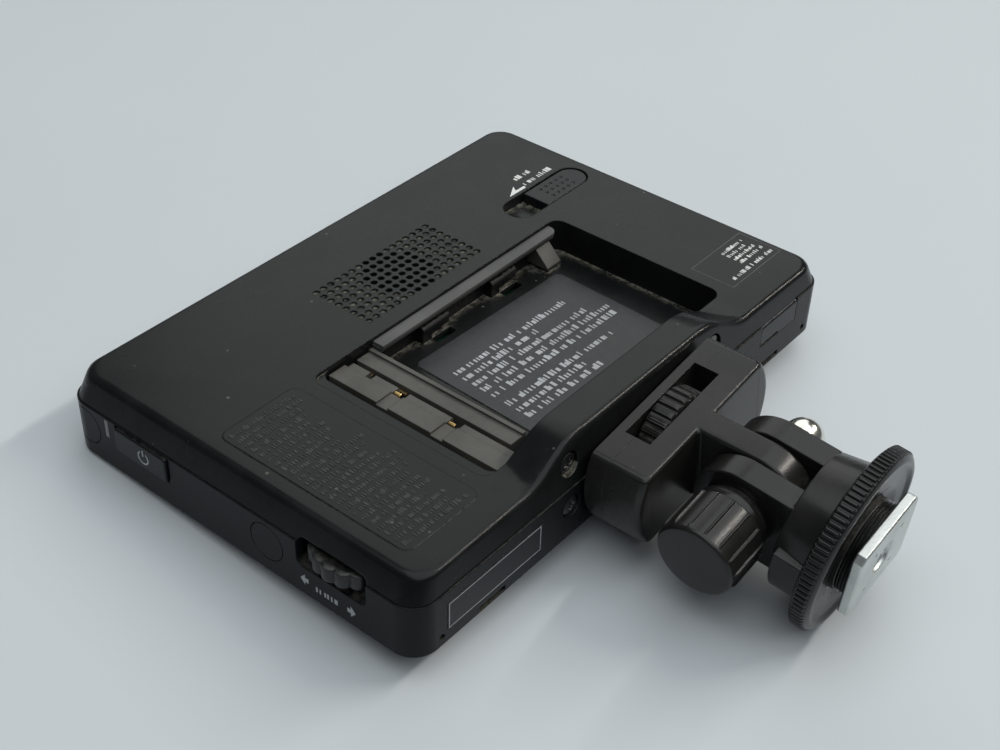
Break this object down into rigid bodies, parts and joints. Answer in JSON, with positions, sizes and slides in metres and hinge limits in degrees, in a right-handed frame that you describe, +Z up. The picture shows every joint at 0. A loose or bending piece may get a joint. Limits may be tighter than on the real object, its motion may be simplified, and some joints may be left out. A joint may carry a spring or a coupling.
{
  "type": "camera field monitor",
  "caption": "Clip-on camera field monitor lying face down: slim black case with battery bay, grille and side controls, on a swivel and tilt shoe mount with a knurled lock ring.",
  "frame": {"origin": "on the table, under the middle of the whole object's bounding box", "axes": "+X along the picture's width, away from the side with the power button and jog wheel; +Y away from the shoe mount, up the picture; +Z up, out of the back cover. The case leans 3.6 degrees about X, because it rests on its far edge and on the lock ring"},
  "size_m": [0.1274, 0.1344, 0.0353],
  "materials": {
    "case_black": "fine grained black moulding",
    "frame_black": "smooth black moulding",
    "mount_black": "satin black moulding",
    "control_black": "satin black moulding",
    "terminal_grey": "dark grey moulding",
    "label_grey": "printed plastic film",
    "contact_gold": "gold flashed",
    "window_clear": "clear acrylic",
    "screen_dark": "dark polariser",
    "sheet_steel": "plain",
    "board_green": "solder mask",
    "light_white": "frosted light pipe",
    "screw_black": "blackened steel",
    "pad_rubber": "thin rubber",
    "nut_chrome": "polished",
    "foot_zinc": "zinc plated",
    "washer_nylon": "natural nylon"
  },
  "bodies": {
    "case": {"back_cover": "case_black", "front_frame": "frame_black", "screen_window": "window_clear", "lcd_panel": "screen_dark", "panel_chassis": "sheet_steel", "main_board": "board_green", "control_board": "board_green", "power_switch": "screw_black", "light_lens": "light_white", "speaker": "screw_black", "video_socket": "sheet_steel", "battery_rail": "terminal_grey", "terminal_block": "terminal_grey", "battery_contacts": "contact_gold", "bay_label": "label_grey", "latch_spring": "sheet_steel", "screw_caps": "control_black", "case_screws": "screw_black", "jog_base": "terminal_grey", "side_screws": "screw_black", "socket_bracket": "sheet_steel"},
    "power_button": {"power_button": "control_black"},
    "jog_carrier": {"jog_carrier": "terminal_grey"},
    "jog_wheel": {"jog_wheel": "control_black"},
    "release_slider": {"release_slider": "control_black"},
    "latch_pawl": {"latch_pawl": "terminal_grey"},
    "socket_cover": {"socket_cover": "control_black"},
    "mount_block": {"mount_pad": "pad_rubber", "block_rear": "mount_black", "block_front": "mount_black", "block_screws": "screw_black"},
    "thumb_wheel": {"thumb_wheel": "mount_black", "thumb_screw": "sheet_steel"},
    "fork": {"fork": "mount_black", "friction_washers": "washer_nylon", "cap_nut": "nut_chrome", "shoe_foot": "foot_zinc", "foot_rivet": "foot_zinc"},
    "tilt_knob": {"tilt_knob": "mount_black", "hinge_bolt": "sheet_steel", "knob_washer": "screw_black"},
    "lock_ring": {"lock_ring": "mount_black"}
  },
  "joints": [
    {"name": "power_press", "type": "slide", "parent": "case", "child": "power_button", "axis": [1, 0, 0], "range_m": [0, 0.0006], "stiffness_N_per_m": 1500, "springref_m": -0.0004},
    {"name": "jog_press", "type": "slide", "parent": "case", "child": "jog_carrier", "axis": [1, 0, 0], "range_m": [0, 0.0006], "stiffness_N_per_m": 1500, "springref_m": -0.0004},
    {"name": "jog_turn", "type": "hinge", "parent": "jog_carrier", "child": "jog_wheel", "pos_m": [-0.0547, -0.00007, 0.01286], "axis": [0, 0.0628, 0.998], "continuous": true},
    {"name": "release_slide", "type": "slide", "parent": "case", "child": "release_slider", "axis": [-1, 0, 0], "range_m": [0, 0.004], "stiffness_N_per_m": 250, "springref_m": -0.003},
    {"name": "pawl_slide", "type": "slide", "parent": "case", "child": "latch_pawl", "axis": [0, 0.998, -0.0628], "range_m": [0, 0.0032], "stiffness_N_per_m": 250, "springref_m": -0.003, "deforming": ["latch_spring"]},
    {"name": "socket_cover_hinge", "type": "hinge", "parent": "case", "child": "socket_cover", "pos_m": [0.0467, -0.01808, 0.01649], "axis": [-1, 0, 0], "range_deg": [0, 95]},
    {"name": "mount_swivel", "type": "hinge", "parent": "case", "child": "mount_block", "pos_m": [0.0007, -0.0195, 0.01774], "axis": [0, -0.998, 0.0628], "continuous": true},
    {"name": "thumb_wheel_turn", "type": "hinge", "parent": "mount_block", "child": "thumb_wheel", "pos_m": [0.0007, -0.0195, 0.01774], "axis": [0, -0.998, 0.0628], "continuous": true},
    {"name": "mount_tilt", "type": "hinge", "parent": "mount_block", "child": "fork", "pos_m": [0.00081, -0.0428, 0.01846], "axis": [0.99, 0.0088, 0.1406], "range_deg": [-86, 74]},
    {"name": "tilt_knob_turn", "type": "hinge", "parent": "fork", "child": "tilt_knob", "pos_m": [-0.00716, -0.04287, 0.01732], "axis": [-0.99, -0.0088, -0.1406], "continuous": true},
    {"name": "lock_ring_turn", "type": "hinge", "parent": "fork", "child": "lock_ring", "pos_m": [0.00105, -0.05908, 0.01776], "axis": [0.015, -0.999, -0.0426], "continuous": true}
  ],
  "couplings": [
    {"joint": "pawl_slide", "follows": "release_slide", "ratio": 0.8}
  ]
}
